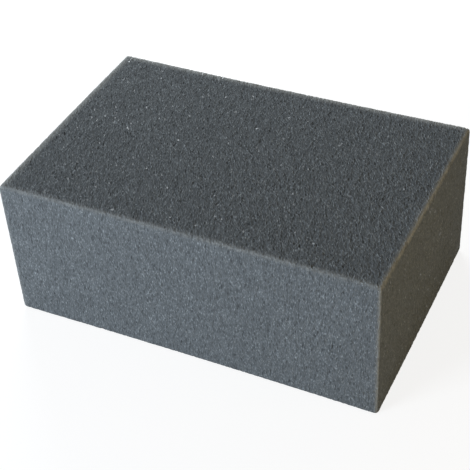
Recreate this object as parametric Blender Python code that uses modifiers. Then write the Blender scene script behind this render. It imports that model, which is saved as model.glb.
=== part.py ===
"""A grout sponge: one block of open-cell foam, sawn to a box and used as it comes off the saw.

Units are metres. The block lies on one of its two large faces. The origin is on the underside, at the
middle of it: +X runs along the length, +Y to the back and +Z up through the thickness.
"""

import math

import bmesh
import bpy
from mathutils import Matrix, Vector

# Sizes of the block. LENGTH is taken at the middle of the ends, WIDTH at the corners.
LENGTH = 0.200
WIDTH = 0.131
THICKNESS = 0.081

# Foam moves under the saw, so its faces come out a little bowed. Each value is the bow at the middle.
FRONT_HOLLOW = 0.0007
BACK_HOLLOW = 0.0010
END_CROWN = 0.00025

# The arrises are soft, because the cut cells there spread open.
ARRIS_RADIUS = 0.0020
ARRIS_SEGMENTS = 5

# The longest stretch of a bowed face that stays flat.
FACET_LENGTH = 0.012

# An edge of the block is an arris where its faces turn by more than this.
ARRIS_ANGLE = math.radians(60)

FOAM_COLOUR = (0.096, 0.104, 0.108, 1.0)
FOAM_ROUGHNESS = 0.95

X, Y, Z = 0, 1, 2


def clear_scene():
    """Remove every object that is in the scene."""
    for item in list(bpy.data.objects):
        bpy.data.objects.remove(item, do_unlink=True)


def new_collection(name):
    """A collection of that name, linked to the scene."""
    collection = bpy.data.collections.new(name)
    bpy.context.scene.collection.children.link(collection)
    return collection


def foam_material():
    """Charcoal open-cell foam, quite matt."""
    material = bpy.data.materials.new("charcoal_foam")
    material.use_nodes = True
    shader = material.node_tree.nodes["Principled BSDF"]
    shader.inputs["Base Color"].default_value = FOAM_COLOUR
    shader.inputs["Roughness"].default_value = FOAM_ROUGHNESS
    shader.inputs["Metallic"].default_value = 0.0
    material.diffuse_color = FOAM_COLOUR
    return material


def slice_across(bm, axis, size):
    """Cut the block across one axis into equal slices no longer than FACET_LENGTH, so that it can bow."""
    slices = math.ceil(size / FACET_LENGTH)
    direction = Vector((0.0, 0.0, 0.0))
    direction[axis] = 1.0
    for number in range(1, slices):
        place = direction * size * (number / slices - 0.5)
        everything = bm.verts[:] + bm.edges[:] + bm.faces[:]
        bmesh.ops.bisect_plane(bm, geom=everything, plane_co=place, plane_no=direction)


def bow_faces(bm):
    """Draw the long sides in towards the middle of the length, and let the ends stand out at their middle.

    What lies between two opposite faces moves in proportion, so the large faces stay flat and even.
    """
    for vert in bm.verts:
        along = vert.co.x / (LENGTH / 2)
        across = vert.co.y / (WIDTH / 2)
        hollow = BACK_HOLLOW if across > 0 else FRONT_HOLLOW
        vert.co.x -= along * END_CROWN * across**2
        vert.co.y -= across * hollow * (1 - along**2)


def soften_arrises(block):
    """Round every arris of the block by the same radius."""
    bevel = block.modifiers.new("soft_arrises", "BEVEL")
    bevel.width = ARRIS_RADIUS
    bevel.segments = ARRIS_SEGMENTS
    bevel.limit_method = "ANGLE"
    bevel.angle_limit = ARRIS_ANGLE
    bevel.use_clamp_overlap = False


def make_foam_block(collection):
    """The whole sponge: a box stood on its underside, sliced, bowed and softened."""
    bm = bmesh.new()
    bmesh.ops.create_cube(bm, size=1.0, matrix=Matrix.Diagonal((LENGTH, WIDTH, THICKNESS, 1.0)))
    slice_across(bm, X, LENGTH)
    slice_across(bm, Y, WIDTH)
    bow_faces(bm)
    mesh = bpy.data.meshes.new("foam_block")
    bm.to_mesh(mesh)
    bm.free()
    mesh.materials.append(foam_material())
    mesh.shade_smooth()
    mesh.set_sharp_from_angle(angle=ARRIS_ANGLE)
    block = bpy.data.objects.new("foam_block", mesh)
    block.location.z = THICKNESS / 2
    collection.objects.link(block)
    soften_arrises(block)
    return block


clear_scene()
make_foam_block(new_collection("grout_sponge"))
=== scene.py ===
# %% [markdown]
# # A grout sponge, cell by cell
#
# The object is one block of charcoal foam, about as long as a hand, that a tiler wipes grout with. There is
# no seam, skin or handle on it. All of its looks come from two things: its form, which is a box that the
# saw left a little bowed, and its surface, where the saw cut through thousands of small bubbles.
#
# The block itself is already made as a solid. This script loads that solid as a fixed frame, builds the
# foam's surface around it as a mesh of open cells, gives it a procedural material and lights it. Places and
# sizes are in metres.

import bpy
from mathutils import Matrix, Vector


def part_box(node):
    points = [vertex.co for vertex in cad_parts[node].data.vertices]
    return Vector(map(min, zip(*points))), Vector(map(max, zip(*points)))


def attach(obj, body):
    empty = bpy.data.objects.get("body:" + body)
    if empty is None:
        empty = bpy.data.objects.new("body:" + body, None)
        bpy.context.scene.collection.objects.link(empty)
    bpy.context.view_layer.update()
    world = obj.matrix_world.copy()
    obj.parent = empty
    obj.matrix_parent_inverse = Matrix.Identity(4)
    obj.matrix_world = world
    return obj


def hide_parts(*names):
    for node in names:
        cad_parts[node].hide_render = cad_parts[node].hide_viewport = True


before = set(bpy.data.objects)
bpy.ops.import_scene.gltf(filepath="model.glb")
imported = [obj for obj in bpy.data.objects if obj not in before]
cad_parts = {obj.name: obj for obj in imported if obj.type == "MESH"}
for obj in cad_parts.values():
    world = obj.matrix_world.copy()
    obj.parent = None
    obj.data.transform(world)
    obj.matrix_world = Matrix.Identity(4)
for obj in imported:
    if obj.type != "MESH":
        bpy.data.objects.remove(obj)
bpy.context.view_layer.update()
print("solids in the frame:", sorted(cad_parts))

# %% [markdown]
# Blender brings its own Python modules. `bmesh` edits meshes, `mathutils` has vectors and a Delaunay
# triangulation, and `numpy` works on all vertices at once, which matters here: there will be about a
# hundred thousand of them.

# %% Modules and a seeded source of chance
import math

import bmesh
import bpy
import numpy as np
from mathutils import Matrix
from mathutils.geometry import delaunay_2d_cdt

SEED = 7
MM = 0.001

chance = np.random.default_rng(SEED)
print("seed of chance:", SEED)

# %% [markdown]
# ## The size of the block
#
# The overall sizes are read from the solid, so that the foam always fits it. Three small forms are known
# from how the block was sawn: the arrises, which is what a maker calls the sharp edges of a block, are
# soft, the long sides are drawn in a little at their middle, and the ends stand out a little.

# %% Sizes of the block
low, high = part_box("foam_block")
LENGTH = high.x - low.x
WIDTH = high.y - low.y
THICKNESS = high.z - low.z
SIZE = np.array([LENGTH, WIDTH, THICKNESS])
MIDDLE = np.array([0.0, 0.0, THICKNESS / 2])

ARRIS_RADIUS = 2.0 * MM
FRONT_HOLLOW = 0.7 * MM
BACK_HOLLOW = 1.0 * MM
END_CROWN = 0.25 * MM
print("block in mm:", (SIZE / MM).round(1))

# %% [markdown]
# ## How the foam could be made
#
# Foam is bubbles that have grown until they touch. A saw cut shows each bubble as a small open bowl, and
# the walls between the bowls as a net of thin ridges. A flat sheet with a bump texture would show neither
# the shadow inside the bowls nor a rough outline, and a finely subdivided grid would need millions of faces
# to find the ridges. So the net is built directly. One seed is put down for each bubble, the seeds are
# joined into triangles, and the *dual* of those triangles is taken: each seed becomes a many-sided cell,
# and every edge of a cell is a ridge. That is also how real bubbles share out a surface.
#
# The cells are a little under 2 mm apart. They are also longer one way than the other, because bubbles rise
# while the foam sets: upright on the four sides, and back to front, a little to the left, on the large
# faces. A flat pattern for them is easiest to make where they are still round, so the functions below work
# in *cell coordinates*, and `stretch_matrix` turns those into the side's own millimetres.

# %% Sizes of the cells
CELL_PITCH = 1.93 * MM
CELL_STRETCH = 2.2
SEED_JITTER = 0.52
EDGE_CLEARANCE = 0.50
LEAN_ON_LARGE_FACES = math.radians(27)
ALONG_RISE = math.sqrt(CELL_STRETCH)

X, Y, Z = 0, 1, 2
ENDS = (-1, 1)
LEFT, RIGHT, FRONT, BACK, BOTTOM, TOP = SIDES = [(axis, sign) for axis in (X, Y, Z) for sign in ENDS]


def plane_axes(axis):
    """The two axes that span a side whose normal runs along axis, in right-handed order."""
    return (axis + 1) % 3, (axis + 2) % 3


# %% [markdown]
# The seeds on the arrises come first, because two sides share each of them. They are evenly spaced with
# some chance in it.

# %% Seeds along the arrises
ARRIS_JITTER = 0.3


def arris_seeds(run, side_u, side_v):
    """Seeds along one arris that runs along an axis, between its two corners."""
    pitch = CELL_PITCH * ALONG_RISE if run == Z else CELL_PITCH / ALONG_RISE
    count = round(SIZE[run] / pitch)
    steps = np.arange(1, count) + chance.uniform(-ARRIS_JITTER, ARRIS_JITTER, count - 1)
    u, v = plane_axes(run)
    seeds = np.zeros((count - 1, 3))
    seeds[:, run] = (steps / count - 0.5) * SIZE[run]
    seeds[:, u] = side_u * SIZE[u] / 2
    seeds[:, v] = side_v * SIZE[v] / 2
    return seeds


corners = np.array([[a, b, c] for a in ENDS for b in ENDS for c in ENDS]) * SIZE / 2
arrises = [arris_seeds(run, a, b) for run in (X, Y, Z) for a in ENDS for b in ENDS]
shared = np.vstack([corners] + arrises)
print("seeds on arrises and corners:", len(shared))

# %% [markdown]
# A side's own seeds start as a honeycomb, and each is then pushed a little way out of line. Seeds scattered
# by chance alone would leave clumps and gaps, which foam doesn't have. The points are complex numbers at
# first, because one multiplication turns them. Seeds too near an arris are left out, since it has its own.


# %% Seeds on a side
def rise_direction(axis):
    """The direction in which the cells of a side are long."""
    if axis == Z:
        return np.array([-math.sin(LEAN_ON_LARGE_FACES), math.cos(LEAN_ON_LARGE_FACES), 0.0])
    return np.array([0.0, 0.0, 1.0])


def stretch_matrix(axis):
    """Turns cell coordinates into a side's own: longer along the foam's rise, narrower across it."""
    rise = rise_direction(axis)[list(plane_axes(axis))]
    across = np.array([rise[1], -rise[0]])
    return np.column_stack([across / ALONG_RISE, rise * ALONG_RISE]) * CELL_PITCH


def honeycomb(reach):
    """Points of a honeycomb with a pitch of 1, turned by chance and pushed out of line."""
    column, row = np.meshgrid(np.arange(-reach, reach + 1), np.arange(-reach, reach + 1))
    points = (column + row % 2 / 2 + 1j * row * math.sqrt(3) / 2).ravel()
    points *= np.exp(1j * chance.uniform(0, math.pi))
    push = SEED_JITTER * np.sqrt(chance.uniform(0, 1, points.size))
    points += push * np.exp(1j * chance.uniform(0, 2 * math.pi, points.size))
    return np.column_stack([points.real, points.imag])


def side_seeds(axis, sign):
    """Seeds inside one side of the block, as points on the sharp box."""
    axes = list(plane_axes(axis))
    stretch = stretch_matrix(axis)
    reach = math.ceil(np.linalg.norm(SIZE[axes]) * ALONG_RISE / CELL_PITCH)
    flat = honeycomb(reach) @ stretch.T
    clear_of_border = SIZE[axes] / 2 - EDGE_CLEARANCE * np.linalg.norm(stretch, axis=1)
    flat = flat[(np.abs(flat) < clear_of_border).all(axis=1)]
    seeds = np.full((len(flat), 3), sign * SIZE[axis] / 2)
    seeds[:, axes] = flat
    return seeds


# %% [markdown]
# A Delaunay triangulation joins each seed to its natural neighbours. It is worked out in honeycomb
# coordinates, where the cells are not stretched, so that it does not favour thin triangles. Along a
# straight arris it may add a sliver between three seeds in one line. Such a triangle lies in no side, so it
# is dropped. The arris seeds of neighbouring sides have the same places, and `np.unique` makes them one.

# %% Triangles over the whole block
TINY = 1e-7
PLACE_DECIMALS = 8
WHOLE_HULL = 0


def touches(seeds, axis, sign):
    """Whether each seed lies on that side of the block."""
    return seeds[:, axis] * sign > SIZE[axis] / 2 - TINY


def triangulate_side(axis, sign):
    """The seeds of one side with those of its border, and the triangles between them."""
    u, v = plane_axes(axis)
    seeds = np.vstack([side_seeds(axis, sign), shared[touches(shared, axis, sign)]])
    round_cells = seeds[:, [u, v]] @ np.linalg.inv(stretch_matrix(axis)).T
    flat_points = [tuple(point) for point in round_cells]
    _, _, found, came_from, _, _ = delaunay_2d_cdt(flat_points, [], [], WHOLE_HULL, TINY)
    origin = np.array([names[0] for names in came_from])
    triangles = origin[np.array(found)]
    border = np.column_stack([touches(seeds, k, s) for k in (u, v) for s in ENDS])
    triangles = triangles[~border[triangles].all(axis=1).any(axis=1)]
    return seeds, triangles if sign > 0 else triangles[:, ::-1]


points, faces, used = [], [], 0
for axis, sign in SIDES:
    seeds, triangles = triangulate_side(axis, sign)
    points.append(seeds)
    faces.append(triangles + used)
    used += len(seeds)
points = np.vstack(points).round(PLACE_DECIMALS)
points, first_use = np.unique(points, axis=0, return_inverse=True)
faces = first_use.reshape(-1)[np.vstack(faces)]
print("seeds:", len(points), "triangles:", len(faces))

# %% [markdown]
# ## From triangles to cells
#
# Blender's geometry nodes have a node that does the next step alone: *Dual Mesh* puts a vertex in each
# triangle and makes a face around each old vertex. The node group below has only that node in it. It is run
# as a modifier, and the evaluated mesh is taken as a new one.


# %% The dual mesh
def take_dual(mesh):
    """A new mesh with one face for each vertex of mesh, and one vertex for each face."""
    group = bpy.data.node_groups.new("cells_around_seeds", "GeometryNodeTree")
    for direction in ("INPUT", "OUTPUT"):
        group.interface.new_socket("Geometry", in_out=direction, socket_type="NodeSocketGeometry")
    given = group.nodes.new("NodeGroupInput")
    dual = group.nodes.new("GeometryNodeDualMesh")
    result = group.nodes.new("NodeGroupOutput")
    group.links.new(given.outputs[0], dual.inputs[0])
    group.links.new(dual.outputs[0], result.inputs[0])
    carrier = bpy.data.objects.new("dual_carrier", mesh)
    bpy.context.scene.collection.objects.link(carrier)
    carrier.modifiers.new("dual", "NODES").node_group = group
    evaluated = carrier.evaluated_get(bpy.context.evaluated_depsgraph_get())
    cells = bpy.data.meshes.new_from_object(evaluated)
    bpy.data.objects.remove(carrier)
    bpy.data.node_groups.remove(group)
    return cells


seed_mesh = bpy.data.meshes.new("seed_triangles")
seed_mesh.from_pydata(points.tolist(), [], faces.tolist())
cell_mesh = take_dual(seed_mesh)
bpy.data.meshes.remove(seed_mesh)
print("cells:", len(cell_mesh.polygons), "ridge corners:", len(cell_mesh.vertices))

# %% [markdown]
# `bmesh.ops.poke` puts a vertex in the middle of every cell and joins it to the cell's corners. That vertex
# will be the bottom of the bowl. Its number is kept, since both the form and the colour need it. Inside a
# bowl the shading runs smoothly, and the edges between two bowls are marked sharp: those are the ridges.

# %% A bottom for each bowl
bm = bmesh.new()
bm.from_mesh(cell_mesh)
bpy.data.meshes.remove(cell_mesh)
in_bowl = set(bmesh.ops.poke(bm, faces=bm.faces[:], center_mode="MEAN")["verts"])
bmesh.ops.recalc_face_normals(bm, faces=bm.faces[:])
for face in bm.faces:
    face.smooth = True
for edge in bm.edges:
    edge.smooth = not in_bowl.isdisjoint(edge.verts)
bm.verts.index_update()
bottoms = np.array(sorted(vert.index for vert in in_bowl))
loose_edges = sum(not edge.is_manifold for edge in bm.edges)
foam_mesh = bpy.data.meshes.new("foam")
bm.to_mesh(foam_mesh)
bm.free()
print("triangles:", len(foam_mesh.polygons), "open edges:", loose_edges)


# %% [markdown]
# ## The form of the block
#
# So far all cells lie on a sharp box. The next function lays them on the true form. Every point is seen
# from the nearest point of a smaller box, one arris radius further in. Moved to exactly that radius from
# it, the sides stay flat and the arrises and corners come out round. The direction of that move is also the
# direction in which the surface faces. The bow of the sides is added at the end.

# %% Rounding and bowing
def lay_on_block(flat):
    """Points on the sharp box, moved onto the rounded and bowed block, and the way it faces there."""
    core = SIZE / 2 - ARRIS_RADIUS
    nearest = np.clip(flat, -core, core)
    facing = flat - nearest
    facing /= np.linalg.norm(facing, axis=1)[:, None]
    laid = nearest + facing * ARRIS_RADIUS
    along = laid[:, X] / (LENGTH / 2)
    across = laid[:, Y] / (WIDTH / 2)
    hollow = np.where(across > 0, BACK_HOLLOW, FRONT_HOLLOW)
    laid[:, X] -= along * END_CROWN * across**2
    laid[:, Y] -= across * hollow * (1 - along**2)
    return laid, facing


flat = np.zeros(len(foam_mesh.vertices) * 3, np.float32)
foam_mesh.vertices.foreach_get("co", flat)
flat = flat.reshape(-1, 3).astype(float)
laid, facing = lay_on_block(flat)

# %% [markdown]
# Later steps ask of each triangle in which bowl it lies, and which way the block's side faces there. Just
# one of its three corners is the bottom of a bowl, and the number of that corner serves as the number of
# the bowl.

# %% Faces and their cells
corner_vertex = np.zeros(len(foam_mesh.loops), np.int32)
foam_mesh.loops.foreach_get("vertex_index", corner_vertex)
corner_vertex = corner_vertex.reshape(-1, 3)
is_bottom = np.zeros(len(laid))
is_bottom[bottoms] = 1.0
cell_of_face = (corner_vertex * is_bottom[corner_vertex]).sum(axis=1).astype(int)
face_facing = facing[corner_vertex].mean(axis=1)
print("mean number of ridges around a bowl:", round(len(corner_vertex) / len(bottoms), 2))

# %% [markdown]
# ## Opening the cells
#
# A bowl is as deep as the saw happened to leave it: a bubble cut near its end leaves a shallow bowl, one
# cut through its middle a deep one. The bottoms also sit off centre, because no two walls are equally
# thick, and the ridges are torn to uneven heights. Most bottoms lie about level with the solid's faces, and
# the ridges stand a little proud of them, except under the block, where its weight has pressed them flat.
# Along an arris the saw leaves only slivers of bubbles, so the bowls there are shallow and the edge reads
# as crisp. The two ends look smoother than the other sides, so their bowls are a little shallower too.
# `calm` is the share of its full depth that a bowl keeps.
#
# In a narrow cell a bottom can drift past its own ridge, which would fold the surface over. Such a face can
# be told by its normal, which points into the block. The bottom then goes back to the middle of its cell.

# %% Depth of the bowls
RIDGES_PROUD = 0.38 * MM
RIDGE_WEAR = 0.15 * MM
BOWL_DEPTH = 0.32 * MM
DEPTH_SPREAD = 0.35
DEEPEST = 0.95 * MM
BOWL_DRIFT = 0.20 * MM
CALM_REACH = 3.0 * MM
CALMEST = 0.3
END_SMOOTHNESS = 0.2

from_side = SIZE / 2 - np.abs(flat)
from_arris = np.sort(from_side, axis=1)[:, 1]
calm = CALMEST + (1 - CALMEST) * np.minimum(from_arris / CALM_REACH, 1)
calm *= 1 - END_SMOOTHNESS * (1 - np.minimum(from_side[:, X] / CALM_REACH, 1))
depth = np.abs(chance.normal(0, RIDGE_WEAR, len(laid)))
bowl_depth = BOWL_DEPTH * np.exp(chance.normal(0, DEPTH_SPREAD, len(bottoms)))
depth[bottoms] = np.minimum(bowl_depth, DEEPEST)
depth *= calm
drift = np.zeros_like(laid)
drift[bottoms] = chance.normal(0, BOWL_DRIFT, (len(bottoms), 3))
drift -= facing * (drift * facing).sum(axis=1)[:, None]


def push_in():
    """The surface with its ridges proud, its bowls pushed in, and nothing below the ground."""
    pushed = laid + drift + facing * (RIDGES_PROUD - depth)[:, None] + MIDDLE
    pushed[:, Z] = np.maximum(pushed[:, Z], 0.0)
    return pushed


def folded(surface):
    """Whether each face points into the block."""
    a, b, c = (surface[corner_vertex[:, k]] for k in range(3))
    return (np.cross(b - a, c - a) * face_facing).sum(axis=1) < 0


drift[cell_of_face[folded(push_in())]] = 0.0
surface = push_in()
foam_mesh.vertices.foreach_set("co", surface.astype(np.float32).ravel())
foam_mesh.update()
print("mean depth of a bowl in mm:", (depth[bottoms].mean() / MM).round(2), "folds:", folded(surface).sum())

# %% [markdown]
# ## What the material needs to know
#
# Four facts are written on the mesh as attributes, and the material reads them by name. `bowl` is 1 at the
# bottom of a bowl and 0 on the ridges, so it tells how far in a spot lies. `tone` is one chance value for
# each cell, because every bubble's wall is a little different. `film` is 1 on the few spots where a scrap
# of a bubble's thin skin still lies across its wall.
#
# `arris` is a painted highlight: greatest on the block's edges, it fades out towards the sides. Two saw cuts
# meet there, which leaves the threads of the foam spread open, and the light they catch is painted in as a
# paler colour. The right end has thin crisp lines around it. Towards the left end and the back, where the
# light from behind the left grazes the top, the painted highlight is wide. Each band has a strength, then
# its width on the first side and its width on the second.

# %% Attributes on the mesh
EDGE_HIGHLIGHT_BANDS = {
    (TOP, LEFT): (0.66, 5.0 * MM, 1.5 * MM),
    (TOP, BACK): (0.82, 5.0 * MM, 1.5 * MM),
    (TOP, RIGHT): (0.86, 2.3 * MM, 1.2 * MM),
    (TOP, FRONT): (0.38, 3.0 * MM, 1.0 * MM),
    (FRONT, RIGHT): (0.46, 1.8 * MM, 0.8 * MM),
    (FRONT, LEFT): (0.20, 3.0 * MM, 1.4 * MM),
    (BACK, RIGHT): (0.50, 1.8 * MM, 1.4 * MM),
    (BACK, LEFT): (0.30, 3.0 * MM, 3.0 * MM),
}
FILM_SHARE = 0.006


def store(name, domain, values):
    """Writes one number for each vertex or face of the foam."""
    attribute = foam_mesh.attributes.new(name, "FLOAT", domain)
    attribute.data.foreach_set("value", np.asarray(values, np.float32))


cell_tone = chance.uniform(0, 1, len(laid))
film = chance.uniform(0, 1, len(corner_vertex)) < FILM_SHARE
away = {(axis, sign): SIZE[axis] / 2 - sign * flat[:, axis] for axis, sign in SIDES}
painted_edge_light = np.zeros(len(laid))
# Painted highlight: each band pales the colour along an edge, where light catches the spread threads.
for (side, other), (strength, width_on_side, width_on_other) in EDGE_HIGHLIGHT_BANDS.items():
    faded = np.maximum(away[other] / width_on_side, away[side] / width_on_other)
    painted_edge_light = np.maximum(painted_edge_light, strength * (1 - faded))
store("bowl", "POINT", is_bottom)
store("tone", "FACE", cell_tone[cell_of_face])
store("film", "FACE", film)
store("arris", "POINT", painted_edge_light)
print("spots with a film:", film.sum())

# %% [markdown]
# Textures inside the material have to be drawn out in the same way as the cells, and a little more, because
# the torn threads hang in the direction of the rise. So each corner of each face also gets its place in
# squeezed coordinates, in which such a thread is as short as it is wide. This is kept for each corner and
# not for each vertex, because at an arris two sides meet that are squeezed in different ways.
#
# Two more facts are given for each side of the block. `torn` is how rough its threads are: most on the large
# faces and least on the ends. The other lifts the painted shade of the openings in its bowls, which stands
# for the shade inside the holes. Only the front shows dark dots in the photograph, so on the front and the
# back that painted shade is kept full, and on the top and the ends it is lifted.

# %% Squeezed coordinates for the textures
THREAD_STRETCH_ACROSS = np.array([3.8, 3.8, 4.2])
TORN_ACROSS = np.array([0.75, 0.89, 1.0])
# How far the painted shade inside the holes is lifted on each side.
HOLE_SHADE_LIFT_ACROSS = np.array([0.57, 0.0, 0.57])

face_axis = np.abs(face_facing).argmax(axis=1)
face_sign = np.sign(face_facing[np.arange(len(face_axis)), face_axis])
rises = np.array([rise_direction(axis) for axis in (X, Y, Z)])
rise = rises[face_axis][:, None, :]
corner_place = flat[corner_vertex]
height = (corner_place * rise).sum(axis=2, keepdims=True)
thread_stretch = THREAD_STRETCH_ACROSS[face_axis][:, None, None]
squeezed = corner_place - rise * height * (1 - 1 / thread_stretch)
grain = foam_mesh.attributes.new("grain", "FLOAT_VECTOR", "CORNER")
grain.data.foreach_set("vector", squeezed.astype(np.float32).ravel())
store("torn", "FACE", TORN_ACROSS[face_axis])
store("hole_shade_lift", "FACE", HOLE_SHADE_LIFT_ACROSS[face_axis])
print("squeezed height of the block in mm:", (np.ptp(squeezed[face_axis != Z][..., Z]) / MM).round(1))

# %% [markdown]
# A flat map of the surface is kept with the mesh, for whoever wants to bake the material into a picture.
# The six sides are laid out like an unfolded box at one scale. A cell on an arris belongs to the side that
# it faces most, and the part of it that lies round the corner is unrolled with it.

# %% A flat map of the six sides
MAP_GAP = 5 * MM
ROW = WIDTH + MAP_GAP
ENDS_AT = LENGTH + MAP_GAP
BACK_AT = ENDS_AT + THICKNESS + MAP_GAP
MAP_WIDTH = BACK_AT + THICKNESS + 2 * MAP_GAP
MAP_PLACES = {
    TOP: (0, 0),
    BOTTOM: (0, ROW),
    FRONT: (0, 2 * ROW),
    RIGHT: (ENDS_AT, 0),
    LEFT: (ENDS_AT, ROW),
    BACK: (BACK_AT, 0),
}
TURNED = [FRONT, RIGHT, LEFT]


def unrolled(points, axis, sign):
    """Coordinates of points in the plane of one side, with what lies round an arris folded flat."""
    below = SIZE[axis] / 2 - points[..., axis] * sign
    columns = []
    for k in plane_axes(axis):
        past = np.abs(points[..., k]) > SIZE[k] / 2 - TINY
        columns.append(points[..., k] + np.where(past, np.sign(points[..., k]) * below, 0.0) + SIZE[k] / 2)
    return np.stack(columns, axis=-1)


uv = np.zeros((len(corner_vertex), 3, 2))
for (axis, sign), place in MAP_PLACES.items():
    mine = (face_axis == axis) & (face_sign == sign)
    plane = unrolled(corner_place[mine], axis, sign)
    if (axis, sign) in TURNED:
        plane = plane[..., ::-1]
    uv[mine] = (plane + np.array(place) + MAP_GAP) / MAP_WIDTH
uv_layer = foam_mesh.uv_layers.new(name="OFBake")
uv_layer.data.foreach_set("uv", uv.astype(np.float32).ravel())
print("map spans:", uv.min(axis=(0, 1)).round(3), "to", uv.max(axis=(0, 1)).round(3))

# %% [markdown]
# ## The foam's material
#
# The foam is dyed polyurethane: charcoal, a little cool, and quite matt. One dark colour is multiplied by
# several shades, in the order in which the eye reads them. The ridges are thin and let some light through,
# and that light is painted in: they are a little paler than the bowls, and the bowls a little darker, as the
# shade in them. Each cell differs a little from the next. The wall of a bowl is pierced by small openings
# into the bubbles behind it, and the shade inside them is painted as dark spots. Finer still is the
# roughness of the torn walls, with painted glints where it is highest, and over a few centimetres the whole
# block is slightly uneven.
#
# The helpers below add a node or a pair of them, so that the materials themselves stay short to read.

# %% Small helpers for nodes
COLUMN_WIDTH = 220
ROW_HEIGHT = 260


def add_node(tree, kind, place, **settings):
    """A node of that kind, at a place in the node editor counted in columns and rows."""
    node = tree.nodes.new(kind)
    node.location = (place[0] * COLUMN_WIDTH, place[1] * -ROW_HEIGHT)
    for name, value in settings.items():
        setattr(node, name, value)
    return node


def map_values(tree, value, given, wanted, place):
    """A value between the two given numbers, mapped onto the two wanted ones and held there outside."""
    node = add_node(tree, "ShaderNodeMapRange", place)
    tree.links.new(value, node.inputs["Value"])
    for name, number in zip(("From Min", "From Max", "To Min", "To Max"), (*given, *wanted)):
        node.inputs[name].default_value = number
    return node.outputs["Result"]


def combine(tree, operation, first, second, place):
    """Two values joined by a Math node."""
    node = add_node(tree, "ShaderNodeMath", place, operation=operation)
    tree.links.new(first, node.inputs[0])
    tree.links.new(second, node.inputs[1])
    return node.outputs[0]


def mix_colours(tree, how, factor, first, second, place):
    """A colour mix node. Each input may be a socket or a plain value."""
    node = add_node(tree, "ShaderNodeMix", place, data_type="RGBA", blend_type=how)
    for name, value in (("Factor_Float", factor), ("A_Color", first), ("B_Color", second)):
        socket = next(s for s in node.inputs if s.identifier == name)
        if isinstance(value, bpy.types.NodeSocket):
            tree.links.new(value, socket)
        else:
            socket.default_value = value
    return next(s for s in node.outputs if s.identifier == "Result_Color")


# %% [markdown]
# The openings come from a Voronoi texture: it gives the distance to the nearest of many scattered points,
# so a low distance is a round spot, in which the shade inside a hole is painted dark. The torn walls come
# from a noise texture, which is used three times: as a shade, as a fine bump, and, only where it is
# highest, as painted glints. Both are sized in the squeezed coordinates. Where the foam is less torn, the
# noise is drawn in towards its mean, which tones down all three. Where the painted shade of the holes is
# lifted, the low values of the first texture are raised in the same way.

# %% The fine pattern of the walls
OPENING_PITCH = 1.0 * MM
OPENING_BORDER = (0.15, 0.42)
TEAR_SIZE = 0.38 * MM
TEAR_DETAIL = 1
MEAN_NOISE = 0.5


def fine_pattern(tree):
    """Two values over the foam: the mask of the painted shade in the holes, 0 inside an open hole, raised
    where that shade is lifted, and 1 on a wall; and the noise of the torn walls.
    """
    grain = add_node(tree, "ShaderNodeAttribute", (-9, 3), attribute_name="grain").outputs["Vector"]
    spots = add_node(tree, "ShaderNodeTexVoronoi", (-8, 3))
    spots.inputs["Scale"].default_value = 1 / OPENING_PITCH
    tree.links.new(grain, spots.inputs["Vector"])
    tears = add_node(tree, "ShaderNodeTexNoise", (-8, 4))
    tears.inputs["Scale"].default_value = 1 / TEAR_SIZE
    tears.inputs["Detail"].default_value = TEAR_DETAIL
    tree.links.new(grain, tears.inputs["Vector"])
    torn = add_node(tree, "ShaderNodeAttribute", (-9, 4), attribute_name="torn").outputs["Fac"]
    tears_here = map_values(tree, torn, (0, 1), (MEAN_NOISE, 1), (-7, 4))
    tree.links.new(tears.outputs["Fac"], tears_here.node.inputs["To Max"])
    hole_shade_lift = add_node(tree, "ShaderNodeAttribute", (-9, 2), attribute_name="hole_shade_lift").outputs["Fac"]
    hole_shade = map_values(tree, spots.outputs["Distance"], OPENING_BORDER, (0, 1), (-7, 3))
    tree.links.new(hole_shade_lift, hole_shade.node.inputs["To Min"])
    return hole_shade, tears_here


# %% [markdown]
# The numbers below set how strongly each of these shows. A shade of 1 leaves the colour as it is. The
# painted glints are the strongest: pale spots that stand for whole threads standing up into the light. The
# foam itself has next to no gloss, and only the scraps of film are given some, as a coat.

# %% Charcoal foam
CHARCOAL = (0.114, 0.1235, 0.1285, 1)
# Painted highlight along the edges, mixed in by the arris attribute.
EDGE_HIGHLIGHT_PALE = (0.49, 0.49, 0.46, 1)
RIDGE_WIDTH = 0.3
# Painted light on the ridges and painted shade in the bowls.
RIDGE_LIGHT_TO_BOWL_SHADE = (1.14, 0.97)
CELL_SHADES = (0.91, 1.09)
# Painted shade inside the holes, and the wall around them.
HOLE_SHADE_TO_WALL = (0.63, 1.03)
NOISE_SPAN = (0.3, 0.7)
TEAR_SHADES = (0.88, 1.12)
# Painted glints: where the noise lies in this span, the colour is made paler up to this shade.
GLINT_SPAN = (0.56, 0.76)
PAINTED_GLINT_SHADES = (1.0, 2.2)
CLOUD_SIZE = 22 * MM
CLOUD_SHADES = (0.97, 1.03)
FOAM_ROUGHNESS = 0.95
FOAM_GLOSS = 0.08
FILM_ROUGHNESS = 0.50
BUMP_HEIGHT = 0.35 * MM


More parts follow.
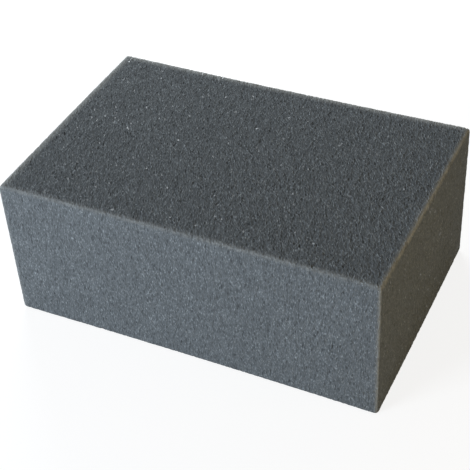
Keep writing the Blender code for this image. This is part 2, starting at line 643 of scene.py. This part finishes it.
def foam_material():
    """Dyed open-cell polyurethane foam, as sawn."""
    material = bpy.data.materials.new("charcoal_foam")
    material.use_nodes = True
    tree = material.node_tree
    shader = tree.nodes["Principled BSDF"]
    shader.inputs["Roughness"].default_value = FOAM_ROUGHNESS
    shader.inputs["Specular IOR Level"].default_value = FOAM_GLOSS
    shader.inputs["Coat Roughness"].default_value = FILM_ROUGHNESS
    facts = {}
    for row, name in enumerate(("bowl", "tone", "arris", "film")):
        fact = add_node(tree, "ShaderNodeAttribute", (-7, row - 1), attribute_name=name)
        facts[name] = fact.outputs["Fac"]
    hole_shade, tears = fine_pattern(tree)
    where = add_node(tree, "ShaderNodeTexCoord", (-8, 5)).outputs["Object"]
    clouds = add_node(tree, "ShaderNodeTexNoise", (-7, 5))
    clouds.inputs["Scale"].default_value = 1 / CLOUD_SIZE
    tree.links.new(where, clouds.inputs["Vector"])

    # Painted light on the ridges and painted shade in the bowls, by the bowl attribute.
    shade = map_values(tree, facts["bowl"], (0, RIDGE_WIDTH), RIDGE_LIGHT_TO_BOWL_SHADE, (-6, 0))
    for row, (value, given, wanted) in enumerate((
        (facts["tone"], (0, 1), CELL_SHADES),
        # painted shade inside the holes
        (hole_shade, (0, 1), HOLE_SHADE_TO_WALL),
        (tears, NOISE_SPAN, TEAR_SHADES),
        # painted glints where the noise of the torn walls is highest
        (tears, GLINT_SPAN, PAINTED_GLINT_SHADES),
        (clouds.outputs["Fac"], NOISE_SPAN, CLOUD_SHADES),
    )):
        factor = map_values(tree, value, given, wanted, (-6, row + 1))
        shade = combine(tree, "MULTIPLY", shade, factor, (-5, row))
    colour = mix_colours(tree, "MULTIPLY", 1.0, CHARCOAL, shade, (-3, 0))
    # The painted highlight along the edges goes on last.
    colour = mix_colours(tree, "MIX", facts["arris"], colour, EDGE_HIGHLIGHT_PALE, (-2, 0))
    tree.links.new(colour, shader.inputs["Base Color"])
    tree.links.new(facts["film"], shader.inputs["Coat Weight"])

    bump = add_node(tree, "ShaderNodeBump", (-2, 4))
    bump.inputs["Distance"].default_value = BUMP_HEIGHT
    tree.links.new(tears, bump.inputs["Height"])
    tree.links.new(bump.outputs["Normal"], shader.inputs["Normal"])
    return material


foam_mesh.materials.append(foam_material())
foam = bpy.data.objects.new("charcoal_foam_block", foam_mesh)
bpy.context.scene.collection.objects.link(foam)
print("material nodes:", len(foam_mesh.materials[0].node_tree.nodes))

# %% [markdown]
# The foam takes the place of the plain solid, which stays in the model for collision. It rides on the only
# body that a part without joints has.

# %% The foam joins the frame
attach(foam, "root")
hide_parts("foam_block")

# %% [markdown]
# ## Floor and background
#
# The photograph is a cut-out on white, so the floor is seen as white, but it still has to take the sponge's
# shadow and throw some light back at it. The Light Path node tells the two apart. A ray that comes straight
# from the camera, or by way of something glossy or clear, sees a floor with a glow of its own, and only a
# light shadow on it. Any other ray carries light between surfaces, and sees plain matt white paper. Away
# from the sponge there is no shadow left to show, so there the floor is seen as all glow. It then meets the
# white world without a line, and no lamp draws its own edge on it.

# %% Floor and world
FLOOR_REACH = 6.0
PAPER = (0.80, 0.80, 0.80, 1)
PAPER_AS_SEEN = (0.25, 0.25, 0.25, 1)
FLOOR_GLOW = 0.84
SHADOW_REACH = 0.3
ALL_GLOW_FROM = 0.6
BLACK = (0, 0, 0, 1)
AMBIENT_LEVEL = 0.18
WHITE = (1, 1, 1, 1)


def seen_directly(tree, place):
    """1 for rays from the camera, or through gloss or glass, and 0 for rays between matt surfaces."""
    column, row = place
    path = add_node(tree, "ShaderNodeLightPath", place).outputs
    seen = combine(tree, "MAXIMUM", path["Is Camera Ray"], path["Is Glossy Ray"], (column + 1, row))
    return combine(tree, "MAXIMUM", seen, path["Is Transmission Ray"], (column + 2, row))


def floor_material():
    """Matt white paper, with a glow that only the camera sees, and beyond the shadow only the glow."""
    material = bpy.data.materials.new("white_paper")
    material.use_nodes = True
    tree = material.node_tree
    shader = tree.nodes["Principled BSDF"]
    shader.inputs["Roughness"].default_value = 1.0
    shader.inputs["Specular IOR Level"].default_value = 0.0
    shader.inputs["Emission Color"].default_value = WHITE
    seen = seen_directly(tree, (-5, 0))
    where = add_node(tree, "ShaderNodeTexCoord", (-5, 2)).outputs["Object"]
    distance = add_node(tree, "ShaderNodeVectorMath", (-4, 2), operation="LENGTH")
    tree.links.new(where, distance.inputs[0])
    near = map_values(tree, distance.outputs["Value"], (SHADOW_REACH, ALL_GLOW_FROM), (1, 0), (-3, 2))
    paper_seen = mix_colours(tree, "MIX", near, BLACK, PAPER_AS_SEEN, (-2, 1))
    tree.links.new(mix_colours(tree, "MIX", seen, PAPER, paper_seen, (-1, 0)), shader.inputs["Base Color"])
    glow = map_values(tree, near, (0, 1), (1, FLOOR_GLOW), (-2, 2))
    tree.links.new(combine(tree, "MULTIPLY", seen, glow, (-1, 1)), shader.inputs["Emission Strength"])
    return material


floor_mesh = bpy.data.meshes.new("floor")
bm = bmesh.new()
bmesh.ops.create_grid(bm, x_segments=1, y_segments=1, size=FLOOR_REACH)
bm.to_mesh(floor_mesh)
bm.free()
floor_mesh.materials.append(floor_material())
floor = bpy.data.objects.new("paper_floor", floor_mesh)
bpy.context.scene.collection.objects.link(floor)

# %% [markdown]
# The world does the same as the floor: it is white where it is seen directly, and for all other rays it is
# no more than a weak and even light.

# %% The world behind it
world = bpy.data.worlds.new("studio")
bpy.context.scene.world = world
world.use_nodes = True
tree = world.node_tree
sky = tree.nodes["Background"]
seen = seen_directly(tree, (-5, 0))
sky.inputs["Color"].default_value = WHITE
tree.links.new(map_values(tree, seen, (0, 1), (AMBIENT_LEVEL, 1), (-1, 0)), sky.inputs["Strength"])
print("ambient level:", AMBIENT_LEVEL)

# %% [markdown]
# ## Lamps
#
# In the photograph the front is the palest side, the top is darker, and the right end is darkest and a
# little warm. The top's grain is also the crispest, as in light that comes in low. So the main lamp is a
# soft one, low at the front left and slightly cool. A closer one at the back left grazes the top, where it
# draws out the grain and the rims. A dim warm one fills in from the right, and the white world adds a
# little all round.
#
# A lamp's `level` is how bright a white card would look that faces it from the middle of the block, where 1
# is white. A square lamp of power P at a distance d gives such a card P / (pi d) squared, hence the
# formula.


# %% Area lamps aimed at the sponge
def add_lamp(name, azimuth, elevation, distance, size, level, colour):
    """A square area lamp, placed around the middle of the block and facing it."""
    data = bpy.data.lights.new(name, "AREA")
    data.size = size
    data.energy = level * (math.pi * distance) ** 2
    data.color = colour
    lamp = bpy.data.objects.new(name, data)
    turn = Matrix.Rotation(math.radians(azimuth), 4, "Z")
    tilt = Matrix.Rotation(math.radians(90 - elevation), 4, "X")
    way_out = Matrix.Translation((0, 0, distance))
    lamp.matrix_world = Matrix.Translation(MIDDLE.tolist()) @ turn @ tilt @ way_out
    bpy.context.scene.collection.objects.link(lamp)
    return lamp


COOL = (0.90, 1.0, 1.12)
FAINTLY_COOL = (0.93, 1.0, 1.05)
WARM = (1.0, 0.71, 0.24)

add_lamp("main_lamp", azimuth=-28, elevation=14, distance=0.9, size=0.35, level=0.88, colour=COOL)
add_lamp("rim_lamp", azimuth=-145, elevation=12, distance=0.6, size=0.4, level=1.45, colour=FAINTLY_COOL)
add_lamp("warm_fill", azimuth=80, elevation=8, distance=0.4, size=0.25, level=0.19, colour=WARM)

# %% [markdown]
# ## Camera
#
# The camera's place and turn were worked out once, from where the block's edges lie in the photograph. The
# lens is a short telephoto, which is why the far edges look only a little shorter than the near ones. The
# photographer held it a few degrees off level.

# %% The photograph's camera
CAMERA_PLACE = (0.22565, -0.43885, 0.44157)
CAMERA_HEADING = math.radians(27.665)
CAMERA_TILT_DOWN = math.radians(39.808)
CAMERA_ROLL = math.radians(3.779)
LENS_MM = 93.59
SENSOR_MM = 36.0

camera_data = bpy.data.cameras.new("camera")
camera_data.lens = LENS_MM
camera_data.sensor_width = SENSOR_MM
camera = bpy.data.objects.new("camera", camera_data)
turn = Matrix.Rotation(CAMERA_HEADING, 4, "Z") @ Matrix.Rotation(math.pi / 2 - CAMERA_TILT_DOWN, 4, "X")
turn = turn @ Matrix.Rotation(-CAMERA_ROLL, 4, "Z")
camera.matrix_world = Matrix.Translation(CAMERA_PLACE) @ turn
bpy.context.scene.collection.objects.link(camera)
bpy.context.scene.camera = camera
bpy.context.scene.view_settings.view_transform = "Standard"
print("camera distance in m:", np.linalg.norm(CAMERA_PLACE - MIDDLE).round(3))
